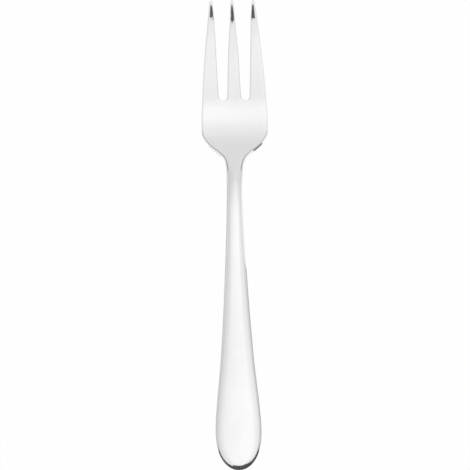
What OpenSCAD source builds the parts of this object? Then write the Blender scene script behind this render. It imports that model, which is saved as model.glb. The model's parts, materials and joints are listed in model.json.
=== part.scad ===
// Three-tined pastry fork, pressed from one blank of stainless steel and polished all over.
// It lies face up on the table. +Y runs from the tail of the handle to the points of the tines,
// +X is to the right of the handle and +Z is up. The origin is on the table, in the middle of
// the fork's length and width. The steel is one piece: each module is one stretch of it, and
// neighbouring stretches meet face to face on a shared section.

/* [Overall] */
// Length of the fork in plan, from the tail to the points
fork_l = 150; // [135:1:190]

/* [Handle] */
// Width of the handle at its widest
handle_w = 14.8; // [12:0.1:18]
// Thickness along the middle of the handle
handle_t = 2.4; // [1.8:0.1:3]
// Thickness at the rim of the handle, before its rounding
handle_rim_t = 1.9; // [1.7:0.1:2.2]
// Distance from the tail to the widest part
tail_l = 12.9; // [8:0.1:18]
// Level stretch under the tail, which rests on the table
pad_l = 9; // [5:0.5:14]
// Width of the rounding along the rim of the handle
handle_round = 2.2; // [1:0.1:2.4]
// How far that rounding falls from the face
handle_drop = 1.3; // [0.6:0.1:1.3]
// Width and height of the rounding along the edges of the back
back_round = 0.3; // [0.1:0.05:0.35]

/* [Neck] */
// Width of the neck at its narrowest
neck_w = 5; // [4:0.1:7]
// Thickness of the neck, the thickest part of the fork
neck_t = 3.2; // [2.6:0.1:4]
// Length of the neck, from the crest of the back to the foot of the shoulders
neck_l = 13; // [9:0.5:20]
// Width and height of the rounding along the edges of the crest
neck_round = 1.2; // [0.6:0.1:1.5]

/* [Head] */
// Width of the head at its widest
head_w = 21.4; // [18:0.1:26]
// Length of the head, from the foot of the shoulders to the bottoms of the slots
head_l = 22; // [19:0.5:28]
// Thickness of the head
head_t = 1.8; // [1.4:0.1:2.4]
// Thickness at the foot of the shoulders
foot_t = 2.2; // [1.8:0.1:2.8]
// Length over which the shoulders flare
shoulder_l = 10.8; // [8:0.1:14]
// Height of the edges of the head above its middle
dish = 0.3; // [0:0.05:0.8]
// Width and height of the rounding along the edges of the head
head_round = 0.55; // [0.2:0.05:0.7]

/* [Tines] */
// Length of the tines, from the bottoms of the slots to the points
tine_l = 31; // [24:0.5:40]
// Width of each slot at its round bottom
slot_w = 2.5; // [1.8:0.1:3.4]
// Width of the middle tine at the bottoms of the slots
middle_tine_w = 4.7; // [3.6:0.1:5.6]
// Width of each tine just behind its rounded point
point_w = 1; // [0.8:0.1:1.5]
// Length over which the thickness of each tine rounds off to its point
nose_l = 1.4; // [1:0.1:2.5]
// Distance between the centres of neighbouring points
point_pitch = 6.7; // [5.5:0.1:8]
// Thickness of the tines at their points
point_t = 1; // [0.9:0.1:1.4]
// Width and height of the rounding along the edges of the tines
tine_round = 0.45; // [0.2:0.05:0.5]
// Height of the crown across each tine at its point
point_crown = 0.15; // [0:0.05:0.3]

/* [Bends] */
// Steepest fall of the back, in the shoulders, in degrees
shoulder_fall = 28; // [22:1:36]
// Climb of the tines, in degrees
tine_climb = 17; // [10:1:24]
// Climb at the very points, in degrees
point_climb = 28; // [20:1:34]
// Distance from the lowest part of the back to the bottoms of the slots
belly_l = 6.5; // [4:0.5:9]

/* [Hidden] */
steel = [0.80, 0.80, 0.79];

// Places along the fork, measured from the tail
tine_y = fork_l - tine_l;
head_y = tine_y - head_l;
neck_y = head_y - neck_l;
waist_y = head_y - neck_l / 2;
flared_y = head_y + shoulder_l;
belly_y = tine_y - belly_l;
steep_share = 0.33;
steep_y = head_y + steep_share * shoulder_l;
bend_end_share = 0.08;
bend_end_y = tine_y + bend_end_share * tine_l;
kick_share = 0.58;
kick_y = tine_y + kick_share * tine_l;
// The middle tine starts its last bend sooner.
middle_kick_share = 0.45;
middle_kick_y = tine_y + middle_kick_share * tine_l;
// The last section leans back, so the curve of the back runs on past the points by this much.
point_y = fork_l + point_t / 2 * sin(point_climb);
nose_y = point_y - nose_l;

// The tail's outline is a superellipse.
tail_l_power = 2.4;
tail_w_power = 2.05;
// Seen from above, each point is rounded off over a length of its own width.
point_round_l = point_w;
middle_level = 0.5;
// No rounding takes more than this share of a section's half width.
widest_round_share = 0.6;

// Half width from the widest part of the handle, through the waist, to the points: along each
// stretch, shares of its length and of the change in width.
handle_taper_shares = [[0, 1], [0.09, 0.912], [0.19, 0.745], [0.29, 0.585], [0.39, 0.465],
    [0.49, 0.352], [0.59, 0.26], [0.69, 0.174], [0.8, 0.09], [0.9, 0.033], [1, 0]];
shoulder_shares = [[0, 0.026], [0.18, 0.09], [0.3, 0.18], [0.42, 0.362], [0.54, 0.56],
    [0.66, 0.734], [0.78, 0.853], [0.9, 0.942], [1, 1]];
side_shares = [[0.13, 0.01], [0.23, 0.07], [0.41, 0.22], [0.59, 0.42], [0.77, 0.66], [1, 1]];
points_w = 2 * point_pitch + point_w;
outline = concat(
    [for (s = handle_taper_shares)
        [tail_l + s[0] * (waist_y - tail_l), (neck_w + s[1] * (handle_w - neck_w)) / 2]],
    [for (s = shoulder_shares)
        [head_y + s[0] * shoulder_l, (neck_w + s[1] * (head_w - neck_w)) / 2]],
    [for (s = side_shares)
        [flared_y + s[0] * (point_y - flared_y), (head_w - s[1] * (head_w - points_w)) / 2]]);

// Edges of the slots, as shares of the tines' length and of the change from root to point
middle_edge_shares = [[0, 0], [0.1, 0.09], [0.2, 0.165], [0.38, 0.27], [0.57, 0.47],
    [0.79, 0.76], [1, 1]];
outer_edge_shares = [[0, 0], [0.1, 0.1], [0.2, 0.19], [0.38, 0.33], [0.57, 0.475],
    [0.79, 0.62], [1, 1]];
seam_x = (middle_tine_w + slot_w) / 2;
middle_edge = [for (s = middle_edge_shares)
    [tine_y + s[0] * (point_y - tine_y),
        middle_tine_w / 2 + s[1] * (point_w - middle_tine_w) / 2]];
outer_edge = [for (s = outer_edge_shares)
    [tine_y + s[0] * (point_y - tine_y),
        seam_x + slot_w / 2 + s[1] * (point_pitch - point_w / 2 - seam_x - slot_w / 2)]];

// Thickness along the middle and at the rims
full_handle_share = 0.55;
full_handle_y = full_handle_share * neck_y;
crest_rim_share = 0.8;
foot_rim_share = 0.95;
head_rim_share = 0.94;
middle_t = [[0, handle_t], [full_handle_y, handle_t], [waist_y, neck_t], [head_y, foot_t],
    [flared_y, head_t], [tine_y, head_t], [point_y, point_t]];
rim_t = [[0, handle_rim_t], [full_handle_y, handle_rim_t], [neck_y, crest_rim_share * neck_t],
    [head_y, foot_rim_share * foot_t], [flared_y, head_rim_share * head_t],
    [tine_y, head_rim_share * head_t], [point_y, point_t]];

// Width of the rounding between the face and the edges, and how far it falls. It is wider than
// it falls along the handle alone.
even_round = [[neck_y, neck_round], [head_y, head_round], [tine_y, head_round],
    [kick_y, tine_round], [point_y, tine_round]];
face_round = concat([[0, handle_round], [full_handle_y, handle_round]], even_round);
face_drop = concat([[0, handle_drop], [full_handle_y, handle_drop]], even_round);
dishing = [[head_y, 0], [belly_y, dish], [tine_y, dish], [point_y, 0]];
crowning = [[kick_y, 0], [nose_y, point_crown / point_t]];

// Slope of the back. The handle climbs just enough to set the tail and the belly level.
climb_shares = [[0.3, 1], [0.65, 0.88]];
function slopes(climb, kick) = concat([[0, 0], [pad_l, 0]],
    [for (s = climb_shares) [pad_l + s[0] * (neck_y - pad_l), s[1] * climb]],
    [[neck_y, 0], [steep_y, -tan(shoulder_fall)], [belly_y, 0], [bend_end_y, tan(tine_climb)],
        [kick, tan(tine_climb)], [nose_y, tan(point_climb)], [point_y, tan(point_climb)]]);
first_climb = 0.15;
settling_passes = 8;
function settled(climb, passes) = passes == 0 ? climb :
    let (table = slopes(climb, kick_y), rise = area(table, neck_y))
    settled(climb * (rise - area(table, belly_y)) / rise, passes - 1);
settled_climb = settled(first_climb, settling_passes);
back_slope = slopes(settled_climb, kick_y);
middle_slope = slopes(settled_climb, middle_kick_y);

// Fineness: stations along each stretch, points across each third of it, degrees in a rounding
tail_stations = 11;
handle_stations = 26;
neck_stations = 10;
shoulder_stations = 14;
palm_stations = 9;
root_stations = 7;
tine_stations = 12;
point_stations = 8;
lane_points = 2;
round_step = 30;
first_station_share = 0.001;
last_station_share = 0.985;

// A smooth curve through a table of [place, value] that never overshoots it. It starts level.
function steepness(table, i) = (table[i + 1][1] - table[i][1]) / (table[i + 1][0] - table[i][0]);
function slope_at(table, i) =
    i == 0 ? 0 :
    i == len(table) - 1 ? steepness(table, i - 1) :
    let (before = steepness(table, i - 1), after = steepness(table, i))
    before * after <= 0 ? 0 : 2 * before * after / (before + after);
function span_of(table, at, i = 0) =
    i >= len(table) - 2 || at < table[i + 1][0] ? i : span_of(table, at, i + 1);
function eased(table, at) =
    at <= table[0][0] ? table[0][1] :
    let (i = span_of(table, at), l = table[i + 1][0] - table[i][0],
        u = min((at - table[i][0]) / l, 1))
    (1 + u * u * (2 * u - 3)) * table[i][1] + u * u * (3 - 2 * u) * table[i + 1][1]
        + l * u * (1 - u) * ((1 - u) * slope_at(table, i) - u * slope_at(table, i + 1));

// The area under that curve, from its first place: the height that a slope has gained
function total(values, i = 0) = i == len(values) ? 0 : values[i] + total(values, i + 1);
function area_in(table, i, u) =
    let (l = table[i + 1][0] - table[i][0], u2 = u * u, u3 = u2 * u, u4 = u3 * u)
    l * ((u - u3 + u4 / 2) * table[i][1] + (u3 - u4 / 2) * table[i + 1][1]
        + l * ((u2 / 2 - 2 * u3 / 3 + u4 / 4) * slope_at(table, i)
            + (u4 / 4 - u3 / 3) * slope_at(table, i + 1)));
function area(table, at) =
    let (i = span_of(table, at), l = table[i + 1][0] - table[i][0])
    total([for (j = [0:1:i - 1]) area_in(table, j, 1)])
        + area_in(table, i, (at - table[i][0]) / l);

// Half width of the whole fork at a place along it
function half_width(y) = y < tail_l
    ? handle_w / 2 * pow(1 - pow(1 - y / tail_l, tail_l_power), 1 / tail_w_power)
    : eased(outline, y);

// How far out towards the rim a point lies: 0 in the middle and 1 on the outline
function outwards(x, y) = y < tail_l
    ? pow(1 - y / tail_l, tail_l_power) + pow(abs(x) / (handle_w / 2), tail_w_power)
    : pow(x / half_width(y), 2);

// The rim of the tail is rounded alike all the way round, by each point's depth inside the
// outline: what it lacks of the rim, over the steepness of outwards() across and along the tail.
function tail_grade(x, y) = [
    tail_w_power * pow(abs(x) / (handle_w / 2), tail_w_power - 1) / (handle_w / 2),
    tail_l_power * pow(1 - y / tail_l, tail_l_power - 1) / tail_l];
function tail_depth(x, y) = max(0, 1 - outwards(x, y)) / norm(tail_grade(x, y));
function tail_share(x, y, width) = sqrt(1 - pow(1 - min(tail_depth(x, y) / width, 1), 2));
function tail_round(y, width) =
    let (grade = tail_grade(half_width(y), y)) width * norm(grade) / grade[0];

// Shares of its full width and of its full thickness that a tine still has near its point
function rounded_off(y, length) = sqrt(1 - pow(max(0, 1 - (point_y - y) / length), 2));

// Levels are shares of the thickness: 0 on the back and 1 on the face. The edges' upright wall
// runs from its foot, over the rounding of the back, to its top, under the rounding of the face.
function wall_top(y) = 1 - eased(face_drop, y) / eased(rim_t, y);
function wall_foot(y) = back_round / eased(rim_t, y);

// A corner of the section: from the edge, inwards, pairs of [x, level] up or down to a flat
function corner(edge, inwards, width, wall, flat) = [for (a = [0:round_step:90])
    [edge + inwards * width * (1 - cos(a)), wall + (flat - wall) * sin(a)]];
function reversed(list) = [for (i = [len(list) - 1:-1:0]) list[i]];
function between(from, to, level) = [for (i = [1:lane_points])
    [from + (to - from) * i / (lane_points + 1), level]];

// A closed section square to the back at place y, through pairs of [x, level]
function section(y, pairs, slope = back_slope) =
    let (lean = atan(eased(slope, y)), z = area(slope, y))
    [for (p = pairs)
        let (out = outwards(p[0], y),
            t = eased(middle_t, y) + out * (eased(rim_t, y) - eased(middle_t, y)),
            h = p[1] * t + out * eased(dishing, y))
        [p[0], y - h * sin(lean), z + h * cos(lean)]];

// One side of a section of the handle, the neck or the head, from its right edge to its left,
// laid out in the same three lanes as the tines. level is 1 for the face and 0 for the back.
function whole_side(y, round_w, wall, level) =
    let (tail = y < tail_l, edge = half_width(y), seam = seam_x * edge / half_width(tine_y),
        width = min(tail ? tail_round(y, round_w) : round_w, widest_round_share * edge),
        pairs = concat(corner(edge, -1, width, wall, level), between(edge - width, seam, level),
            [[seam, level]], between(seam, -seam, level), [[-seam, level]],
            between(-seam, width - edge, level),
            reversed(corner(-edge, 1, width, wall, level))))
    [for (p = pairs) tail ? [p[0], wall + (level - wall) * tail_share(p[0], y, round_w)] : p];
function whole_section(y) = section(y, concat(
    whole_side(y, eased(face_round, y), wall_top(y), 1),
    reversed(whole_side(y, back_round, wall_foot(y), 0))));

// Half of a slot's width near its bottom, where it closes in a half circle
function slot_closing(y, half) = y >= tine_y + slot_w / 2 ? half :
    half * sqrt(1 - pow(1 - (y - tine_y) / (slot_w / 2), 2));
function slot_edge(y, open_edge) =
    seam_x + sign(open_edge - seam_x) * slot_closing(y, abs(open_edge - seam_x));

// One side of a section of one tine, narrowed to nothing at its point and crowned near it
function tine_side(y, left, right, left_w, right_w, wall, level) =
    let (centre = (left + right) / 2, half = (right - left) / 2 * rounded_off(y, point_round_l),
        lw = min(left_w, widest_round_share * half), rw = min(right_w, widest_round_share * half),
        pairs = concat(corner(centre + half, -1, rw, wall, level),
            between(centre + half - rw, centre - half + lw, level),
            reversed(corner(centre - half, 1, lw, wall, level))),
        crown = level * eased(crowning, y))
    [for (p = pairs)
        let (at = p[1] * (1 - crown * pow((p[0] - centre) / half, 2)))
        [p[0], middle_level + (at - middle_level) * rounded_off(y, nose_l)]];
function tine_section(y, left, right, left_w, right_w, slope = back_slope) = section(y, concat(
    tine_side(y, left, right, left_w, right_w, wall_top(y), 1),
    reversed(tine_side(y, left, right, min(left_w, back_round), min(right_w, back_round),
        wall_foot(y), 0))), slope);
function slot_round(y, width) = min(width, slot_closing(y, slot_w / 2) / 2);
function middle_section(y) =
    let (edge = slot_edge(y, eased(middle_edge, y)), width = slot_round(y, eased(face_round, y)))
    tine_section(y, -edge, edge, width, width, middle_slope);
function outer_section(y) =
    tine_section(y, slot_edge(y, eased(outer_edge, y)), half_width(y),
        slot_round(y, eased(face_round, y)), eased(face_round, y));

// Places of the sections, closer together where the form turns quickly
function spaced(from, to, count) = [for (i = [1:count]) from + (to - from) * i / count];
handle_places = concat([first_station_share * tail_l],
    [for (i = [1:tail_stations]) tail_l * (1 - cos(90 * i / tail_stations))],
    spaced(tail_l, neck_y, handle_stations));
neck_places = concat([neck_y], spaced(neck_y, head_y, neck_stations));
head_places = concat([head_y], spaced(head_y, flared_y, shoulder_stations),
    spaced(flared_y, tine_y, palm_stations));
tine_places = concat([for (i = [0:root_stations])
        tine_y + slot_w / 2 * (1 - cos(90 * i / root_stations))],
    spaced(tine_y + slot_w / 2, nose_y, tine_stations),
    [for (i = [1:point_stations])
        nose_y + nose_l * last_station_share * sin(90 * i / point_stations)]);

// A closed solid through a row of sections that all have the same number of points
module lofted(sections) {
    n = len(sections[0]);
    last = n * (len(sections) - 1);
    polyhedron(
        points = [for (s = sections) each s],
        faces = concat([[for (j = [n - 1:-1:0]) j]], [[for (j = [0:n - 1]) last + j]],
            [for (i = [0:n:last - n], j = [0:n - 1])
                let (a = i + j, b = i + (j + 1) % n)
                each [[a, b, b + n], [a, b + n, a + n]]]),
        convexity = 6);
}

// Sections are laid out from the tail. This moves them so that the origin is half way along.
module placed() {
    translate([0, -fork_l / 2, 0]) children();
}

// Long handle: a round tail, a crowned face and a level pad under the tail
module handle() {
    color(steel) placed() lofted([for (y = handle_places) whole_section(y)]);
}

// Neck, the narrowest and thickest part, which falls from the crest to the shoulders
module neck() {
    color(steel) placed() lofted([for (y = neck_places) whole_section(y)]);
}

// Head: the flared shoulders and the shallow palm, as far as the bottoms of the slots
module head() {
    color(steel) placed() lofted([for (y = head_places) whole_section(y)]);
}

// Middle tine, between the two slots
module middle_tine() {
    color(steel) placed() lofted([for (y = tine_places) middle_section(y)]);
}

// Right tine, from the right slot to the side of the fork
module right_tine() {
    color(steel) placed() lofted([for (y = tine_places) outer_section(y)]);
}

// Left tine, the right one's mirror image
module left_tine() {
    mirror([1, 0, 0]) right_tine();
}

handle();
neck();
head();
left_tine();
middle_tine();
right_tine();
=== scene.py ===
import json
import math

import bpy
from mathutils import Euler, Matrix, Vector

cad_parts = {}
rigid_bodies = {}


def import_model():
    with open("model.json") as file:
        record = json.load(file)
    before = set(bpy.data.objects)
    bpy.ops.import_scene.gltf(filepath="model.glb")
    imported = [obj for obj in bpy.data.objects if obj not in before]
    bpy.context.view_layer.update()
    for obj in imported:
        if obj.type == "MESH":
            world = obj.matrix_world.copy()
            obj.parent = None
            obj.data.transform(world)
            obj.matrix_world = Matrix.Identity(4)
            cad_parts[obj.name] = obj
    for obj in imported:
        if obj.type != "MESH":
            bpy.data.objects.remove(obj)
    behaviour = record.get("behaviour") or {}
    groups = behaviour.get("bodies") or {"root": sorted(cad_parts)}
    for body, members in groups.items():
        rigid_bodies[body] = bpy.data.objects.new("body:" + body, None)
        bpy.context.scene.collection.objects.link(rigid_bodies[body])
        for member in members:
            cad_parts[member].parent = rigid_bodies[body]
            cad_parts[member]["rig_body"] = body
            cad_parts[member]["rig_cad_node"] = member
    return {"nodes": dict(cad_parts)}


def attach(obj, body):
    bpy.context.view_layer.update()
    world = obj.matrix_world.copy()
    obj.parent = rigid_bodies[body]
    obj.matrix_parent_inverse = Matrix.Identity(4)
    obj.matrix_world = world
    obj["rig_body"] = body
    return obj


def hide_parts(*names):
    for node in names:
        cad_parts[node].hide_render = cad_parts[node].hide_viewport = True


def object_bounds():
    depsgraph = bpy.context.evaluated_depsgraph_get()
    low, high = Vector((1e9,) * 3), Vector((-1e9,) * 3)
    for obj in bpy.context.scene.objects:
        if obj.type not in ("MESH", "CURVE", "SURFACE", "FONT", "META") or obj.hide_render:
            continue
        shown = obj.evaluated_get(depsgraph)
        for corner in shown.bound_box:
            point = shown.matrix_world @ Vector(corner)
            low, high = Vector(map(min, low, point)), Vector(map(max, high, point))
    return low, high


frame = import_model()
cad_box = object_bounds()


# Fork
# The real fork is one piece of stainless steel: a blank rolled thin towards the tines, pierced
# between them and pressed into its bends. Its edges are ground round and it is polished all over.
# So its six stretches are copied, opened where they meet, and welded into one seamless skin.

# The end walls to open on each stretch: 1 is the one towards the points, -1 towards the tail.
JOINT_WALLS = {
    "handle": (1,),
    "neck": (-1, 1),
    "head": (-1, 1),
    "left_tine": (-1,),
    "middle_tine": (-1,),
    "right_tine": (-1,),
}
# A face that looks along the fork by more than this share closes a stretch where it meets the next.
SQUARE_ON = 0.85
WELD = 2e-6
SKIN_LEVELS = 2

bpy.ops.object.select_all(action="DESELECT")
for name, ends in JOINT_WALLS.items():
    stretch = frame["nodes"][name]
    stretch.select_set(True)
    bpy.context.view_layer.objects.active = stretch
    bpy.ops.object.duplicate()
    copy = bpy.context.object
    copy.name = "fork_" + name
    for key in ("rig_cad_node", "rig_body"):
        del copy[key]
    bpy.ops.object.mode_set(mode="EDIT")
    bpy.ops.mesh.select_mode(type="FACE")
    bpy.ops.mesh.select_all(action="DESELECT")
    bpy.ops.object.mode_set(mode="OBJECT")
    for face in copy.data.polygons:
        face.select = any(face.normal.y * end > SQUARE_ON for end in ends)
    bpy.ops.object.mode_set(mode="EDIT")
    bpy.ops.mesh.delete(type="FACE")
    bpy.ops.object.mode_set(mode="OBJECT")
    bpy.ops.object.select_all(action="DESELECT")

for name in JOINT_WALLS:
    bpy.data.objects["fork_" + name].select_set(True)
fork = bpy.data.objects["fork_handle"]
bpy.context.view_layer.objects.active = fork
bpy.ops.object.join()
fork.name = "polished_fork"
fork.data.name = "polished_fork"
fork.parent = None
bpy.ops.object.mode_set(mode="EDIT")
bpy.ops.mesh.select_all(action="SELECT")
bpy.ops.mesh.remove_doubles(threshold=WELD)
bpy.ops.mesh.tris_convert_to_quads(face_threshold=math.pi, shape_threshold=math.pi,
                                   topology_influence=2.0)
bpy.ops.object.mode_set(mode="OBJECT")
bpy.ops.object.modifier_add(type="SUBSURF")
skin = fork.modifiers[-1]
skin.levels = skin.render_levels = SKIN_LEVELS
bpy.ops.object.modifier_apply(modifier=skin.name)
bpy.ops.object.shade_smooth()


def linear(hex_colour):
    """A colour written as an sRGB hex value, as the renderer's linear one."""
    parts = [int(hex_colour[i:i + 2], 16) / 255 for i in (1, 3, 5)]
    return [p / 12.92 if p <= 0.04045 else ((p + 0.055) / 1.055) ** 2.4 for p in parts] + [1]


def add_node(tree, kind, settings=None, **links):
    """A node with its settings, and its inputs, by name, set to values or linked to sockets."""
    node = tree.nodes.new(kind)
    for key, value in (settings or {}).items():
        setattr(node, key, value)
    for key, value in links.items():
        socket = node.inputs[int(key[1:])] if key[1:].isdigit() else node.inputs[key.replace("_", " ")]
        if isinstance(value, bpy.types.NodeSocket):
            tree.links.new(value, socket)
        else:
            socket.default_value = value
    return node


# Stainless steel, buffed to a mirror: the eye sees the room in it, a little drawn out along the
# buffing, and duller where a wiping cloth left a film.
steel = bpy.data.materials.new("polished_stainless_steel")
steel.use_nodes = True
tree = steel.node_tree
tree.nodes.clear()
place = add_node(tree, "ShaderNodeTexCoord").outputs["Object"]

# Buffing leaves fine lines along the fork. The real ones are 0.02 mm apart and are drawn coarser.
LINE_SPACING = 0.00015
LINE_LENGTH = 0.02
along_fork = add_node(tree, "ShaderNodeVectorMath", {"operation": "MULTIPLY"}, _0=place,
                      _1=(1 / LINE_SPACING, 1 / LINE_LENGTH, 1 / LINE_SPACING)).outputs[0]
lines = add_node(tree, "ShaderNodeTexNoise", Vector=along_fork, Scale=1.0, Detail=3.0).outputs["Fac"]

# Wiping leaves faint smudges a few millimetres wide, a little duller than the steel round them.
SMUDGE_SIZE = 0.009
SMUDGE_FROM = 0.35
SMUDGE_TO = 0.7
smudges = add_node(tree, "ShaderNodeTexNoise", Vector=place, Scale=1 / SMUDGE_SIZE, Detail=4.0,
                   Distortion=0.8).outputs["Fac"]

# The sides of the slots are only ground with a fine belt, so they stay satin.
GROUND_FROM = 0.62
GROUND_TO = 0.92
SLOTS_FROM_Y = 0.0435
ground_share = fork.data.attributes.new("ground", "FLOAT", "POINT")
for vertex in fork.data.vertices:
    if vertex.co.y > SLOTS_FROM_Y:
        side = (abs(vertex.normal.x) - GROUND_FROM) / (GROUND_TO - GROUND_FROM)
        ground_share.data[vertex.index].value = min(max(side, 0), 1)
ground = add_node(tree, "ShaderNodeAttribute", {"attribute_name": "ground"}).outputs["Fac"]

# A thin grey line runs along the rim of the shoulders, where the face turns into the rounded edge.
# It may be the polish or something mirrored there, and is drawn here as greyer steel. It is painted
# reflection: the darker things mirrored there are drawn into the steel as greyer colour.
RIM_NORMAL = 0.36
RIM_SPREAD = 0.26
RIM_FROM_Y = 0.0205
RIM_TO_Y = 0.0345
RIM_FADE = 0.0015
rim_painted_reflection_share = fork.data.attributes.new("rim", "FLOAT", "POINT")
for vertex in fork.data.vertices:
    if RIM_FROM_Y < vertex.co.y < RIM_TO_Y and vertex.normal.z > 0:
        across = 1 - abs(abs(vertex.normal.x) - RIM_NORMAL) / RIM_SPREAD
        along = min(vertex.co.y - RIM_FROM_Y, RIM_TO_Y - vertex.co.y) / RIM_FADE
        rim_painted_reflection_share.data[vertex.index].value = max(across, 0) * min(along, 1)
rim = add_node(tree, "ShaderNodeAttribute", {"attribute_name": "rim"}).outputs["Fac"]

# Roughness runs from clean mirror to smudged mirror, and up to satin on the ground sides.
MIRROR = 0.04
SMUDGED = 0.11
SATIN = 0.2
LINED = 0.04
mirror = add_node(tree, "ShaderNodeMapRange", _0=smudges, _1=SMUDGE_FROM, _2=SMUDGE_TO, _3=MIRROR,
                  _4=SMUDGED).outputs[0]
lined = add_node(tree, "ShaderNodeMath", {"operation": "MULTIPLY_ADD"}, _0=lines, _1=LINED,
                 _2=mirror).outputs[0]
rough = add_node(tree, "ShaderNodeMath", {"operation": "MULTIPLY_ADD"}, _0=ground, _1=SATIN,
                 _2=lined).outputs[0]

# The lines are shallow cuts: a fiftieth of their spacing deep.
LINE_DEPTH = LINE_SPACING / 50
relief = add_node(tree, "ShaderNodeBump", Strength=1.0, Distance=LINE_DEPTH, Height=lines).outputs[0]

# Steel is a little greyer where the film of a smudge lies on it, and much greyer along the rim,
# where a dark reflection is painted into its colour.
CLEAN_STEEL = linear("#f4f4f4")
FILMED_STEEL = linear("#ececec")
RIM_PAINTED_REFLECTION = linear("#848484")
buffed = add_node(tree, "ShaderNodeMix", {"data_type": "RGBA"}, _0=smudges, _6=CLEAN_STEEL,
                  _7=FILMED_STEEL).outputs[2]
steel_grey_and_painted_reflection = add_node(tree, "ShaderNodeMix", {"data_type": "RGBA"}, _0=rim, _6=buffed,
                      _7=RIM_PAINTED_REFLECTION).outputs[2]
surface = add_node(tree, "ShaderNodeBsdfPrincipled", Base_Color=steel_grey_and_painted_reflection, Metallic=1.0,
                   Roughness=rough, Normal=relief)
add_node(tree, "ShaderNodeOutputMaterial", Surface=surface.outputs["BSDF"])
fork.data.materials.clear()
fork.data.materials.append(steel)

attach(fork, "root")
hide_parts(*frame["nodes"])


# Table
# A wide table covered with matt white paper. The camera and the steel see it as plain white with a
# trace of the fork's shadow.
TABLE_SIDE = 24
PAPER_WHITE = linear("#f6f6f6")
WHITENED = 0.97

bpy.ops.object.select_all(action="DESELECT")
bpy.ops.mesh.primitive_plane_add(size=TABLE_SIDE)
table = bpy.context.object
table.name = "white_table"

paper = bpy.data.materials.new("matt_white_paper")
paper.use_nodes = True
tree = paper.node_tree
tree.nodes.clear()
ray = add_node(tree, "ShaderNodeLightPath").outputs
seen = add_node(tree, "ShaderNodeMath", {"operation": "ADD"}, _0=ray["Is Camera Ray"],
                _1=ray["Is Glossy Ray"])
seen = add_node(tree, "ShaderNodeMath", {"operation": "ADD"}, _0=seen.outputs[0],
                _1=ray["Is Transmission Ray"])
whitened = add_node(tree, "ShaderNodeMath", {"operation": "MULTIPLY", "use_clamp": True},
                    _0=seen.outputs[0], _1=WHITENED)
lit = add_node(tree, "ShaderNodeBsdfDiffuse", Color=PAPER_WHITE)
white = add_node(tree, "ShaderNodeEmission", Color=(1, 1, 1, 1), Strength=1.0)
mixed = add_node(tree, "ShaderNodeMixShader", _0=whitened.outputs[0], _1=lit.outputs[0],
                 _2=white.outputs[0])
add_node(tree, "ShaderNodeOutputMaterial", Surface=mixed.outputs[0])
table.data.materials.append(paper)


# Flags and cards
# Sheets of dark cloth and of grey and pale card, hung or laid round the fork, that give the polished
# steel its dark edges and spots and grey the sides of its handle. The cards laid on the table are
# painted shadow: they darken the table round the fork as the steel mirrors it. All the sheets are
# seen only in the steel's mirror, and take no light from the fork.
def upright(left, right, low, high):
    """The corners of a sheet that hangs between two places, given by x and y, with a level top."""
    return ((*left, low), (*right, low), (*right, high), (*left, high))


def lying(height, *corners):
    """The corners of a sheet that lies on the table."""
    return tuple((x, y, height) for x, y in corners)


CLOTH = "#606060"
PAINTED_SHADOW_GREY = "#808080"
# The shade of each sheet and its corners, one after another round its border.
SHEETS = {
    "back_flag": (CLOTH, upright((-0.23, -0.5), (0.12, -0.5), 0.27, 0.63)),
    "back_right_flag": (CLOTH, ((0.12, -0.5, 0.27), (0.25, -0.5, 0.27), (0.25, -0.5, 0.5),
                                (0.12, -0.5, 0.63))),
    "back_end_flag": (CLOTH, ((0.25, -0.5, 0.27), (0.5, -0.5, 0.27), (0.5, -0.5, 0.28),
                              (0.25, -0.5, 0.5))),
    "left_point_flag": ("#6c6c6c", ((-0.0084, 0.066, 0.015), (-0.0052, 0.066, 0.015),
                                    (-0.0038, 0.066, 0.0185), (-0.01, 0.066, 0.0185))),
    "middle_point_flag": ("#6c6c6c", upright((-0.0045, 0.066), (0.0045, 0.066), 0.0134, 0.0188)),
    "right_point_flag": ("#6c6c6c", ((0.0043, 0.066, 0.0142), (0.0078, 0.066, 0.0142),
                                     (0.0088, 0.066, 0.0185), (0.0035, 0.066, 0.0185))),
    "tail_flag": (CLOTH, upright((-0.013, -0.105), (0.025, -0.105), 0, 0.028)),
    "tail_left_flag": (CLOTH, ((-0.1, -0.105, 0), (-0.013, -0.105, 0), (-0.013, -0.105, 0.0245),
                               (-0.08, -0.105, 0.006))),
    "tail_right_flag": (CLOTH, ((0.025, -0.105, 0), (0.12, -0.105, 0), (0.12, -0.105, 0.006),
                                (0.025, -0.105, 0.026))),
    # Painted shadow: the cards below darken the table round the fork where the steel mirrors it.
    "tail_card": ("#585858", lying(0.00005, (-0.02, -0.105), (0.03, -0.105), (0.03, -0.069),
                                   (-0.02, -0.069))),
    "left_card": ("#e4e4e3", lying(0.00003, (-0.06, -0.069), (0, -0.069), (0, 0.0235),
                                   (-0.06, 0.0235))),
    "right_card": ("#d8d8d7", lying(0.00003, (0, -0.069), (0.06, -0.069), (0.06, -0.01),
                                    (0, -0.01))),
    "left_strip": (PAINTED_SHADOW_GREY, lying(0.00006, (-0.00955, 0.02845), (-0.00675, 0.0243), (-0.0055, 0.0253),
                               (-0.0083, 0.0293))),
    "shoulder_card": (PAINTED_SHADOW_GREY, lying(0.00006, (0.008, 0.0254), (0.0185, 0.0172), (0.0195, 0.0232),
                                  (0.0096, 0.0294))),
}

# A new plane numbers its corners row by row, and this order goes round its border.
ROUND_BORDER = (0, 1, 3, 2)
for name, (colour, corners) in SHEETS.items():
    bpy.ops.object.select_all(action="DESELECT")
    bpy.ops.mesh.primitive_plane_add()
    sheet = bpy.context.object
    sheet.name = name
    for vertex, corner in zip(ROUND_BORDER, corners):
        sheet.data.vertices[vertex].co = corner
    matt = bpy.data.materials.new("matt_" + name)
    matt.use_nodes = True
    tree = matt.node_tree
    tree.nodes.clear()
    dyed = add_node(tree, "ShaderNodeBsdfDiffuse", Color=linear(colour))
    add_node(tree, "ShaderNodeOutputMaterial", Surface=dyed.outputs[0])
    sheet.data.materials.append(matt)
    sheet.visible_camera = False
    sheet.visible_diffuse = False
    sheet.visible_shadow = False
    sheet.visible_transmission = False


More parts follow.
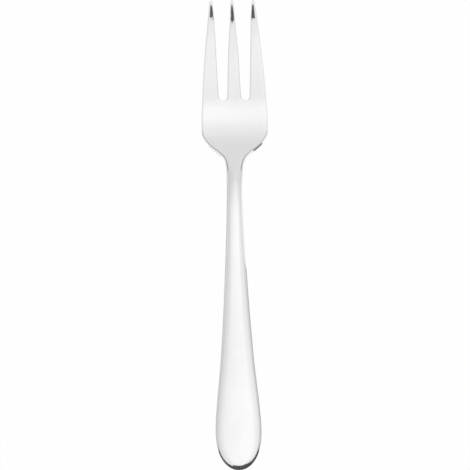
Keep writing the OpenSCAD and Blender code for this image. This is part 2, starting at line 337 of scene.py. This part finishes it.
# Tent
# A tent of white cloth round the table, lit evenly from outside. It is brightest overhead, falls
# off along the table, across it and low down, and stays a little brighter on the right.
ALONG_TONES = ((-1.0, 0.86), (-0.56, 0.945), (-0.5, 0.955), (-0.42, 1.03), (-0.31, 1.085),
               (-0.1, 1.085), (0.0, 1.075), (0.28, 0.965), (0.56, 0.90), (0.8, 0.83), (1.0, 0.80))
ACROSS_SHARES = ((-1.0, 0.72), (-0.8, 0.74), (-0.41, 0.86), (-0.24, 0.90), (-0.12, 0.965), (0.0, 1.0),
                 (0.12, 1.02), (0.24, 1.0), (0.41, 0.94), (0.8, 0.86), (1.0, 0.80))
SIDE_WEIGHTS = ((-1.0, 0.3), (-0.5, 0.35), (-0.36, 1.0), (1.0, 1.0))
HEIGHT_SHARES = ((-1.0, 0.84), (0.0, 0.84), (0.2, 0.86), (0.42, 1.0), (1.0, 1.0))
BRIGHTEST = 1.2

world = bpy.data.worlds.new("white_tent")
bpy.context.scene.world = world
world.use_nodes = True
tree = world.node_tree
tree.nodes.clear()
direction = add_node(tree, "ShaderNodeTexCoord").outputs["Generated"]
axes = add_node(tree, "ShaderNodeSeparateXYZ", _0=direction).outputs
tones = []
for axis, stops in (("Y", ALONG_TONES), ("X", ACROSS_SHARES), ("Y", SIDE_WEIGHTS),
                    ("Z", HEIGHT_SHARES)):
    share = add_node(tree, "ShaderNodeMath", {"operation": "MULTIPLY_ADD"}, _0=axes[axis], _1=0.5,
                     _2=0.5)
    ramp = add_node(tree, "ShaderNodeValToRGB", Fac=share.outputs[0])
    elements = ramp.color_ramp.elements
    for at, _brightness in stops[1:-1]:
        elements.new((1 + at) / 2)
    for element, (_at, brightness) in zip(elements, stops):
        grey = brightness / BRIGHTEST
        element.color = (grey, grey, grey, 1)
    tones.append(add_node(tree, "ShaderNodeMath", {"operation": "MULTIPLY"}, _0=ramp.outputs["Color"],
                          _1=BRIGHTEST).outputs[0])
along, across, weight, height = tones
change = add_node(tree, "ShaderNodeMath", {"operation": "SUBTRACT"}, _0=across, _1=1.0).outputs[0]
weighed = add_node(tree, "ShaderNodeMath", {"operation": "MULTIPLY_ADD"}, _0=change, _1=weight,
                   _2=1.0).outputs[0]
level = add_node(tree, "ShaderNodeMath", {"operation": "MULTIPLY"}, _0=along, _1=weighed).outputs[0]
strength = add_node(tree, "ShaderNodeMath", {"operation": "MULTIPLY"}, _0=level, _1=height).outputs[0]
tent = add_node(tree, "ShaderNodeBackground", Color=(1, 1, 1, 1), Strength=strength)
add_node(tree, "ShaderNodeOutputWorld", Surface=tent.outputs[0])


# Camera
# A long lens straight above the fork, which lies slightly turned in the picture. Its height and
# place follow from the rows of the picture where the tail and the points end.
PHOTO_SIDE = 470
TAIL_ROW = 470.4
POINT_ROW = 0.3
TAIL_HEIGHT = 0.0012
POINT_HEIGHT = 0.012
PIVOT_HEIGHT = 0.005
SIDE_STEP = -0.0002
LENS = 200
SENSOR = 36
TILT = math.radians(1.9)
TURN = math.radians(0.72)

tail_y, point_y = cad_box[0][1], cad_box[1][1]
below, above = TAIL_ROW - PHOTO_SIDE / 2, PHOTO_SIDE / 2 - POINT_ROW
focal = PHOTO_SIDE * LENS / SENSOR
rise = (focal * (point_y - tail_y) + below * TAIL_HEIGHT + above * POINT_HEIGHT) / (below + above)
middle = Vector((SIDE_STEP, tail_y + below * (rise - TAIL_HEIGHT) / focal, PIVOT_HEIGHT))
turned = Euler((0, TILT, -TURN))

camera_data = bpy.data.cameras.new("photo_camera")
camera_data.lens = LENS
camera_data.sensor_width = SENSOR
camera = bpy.data.objects.new("photo_camera", camera_data)
camera.rotation_euler = turned
camera.location = middle + turned.to_matrix() @ Vector((0, 0, rise - PIVOT_HEIGHT))
bpy.context.scene.collection.objects.link(camera)
bpy.context.scene.camera = camera
bpy.context.scene.view_settings.view_transform = "Standard"
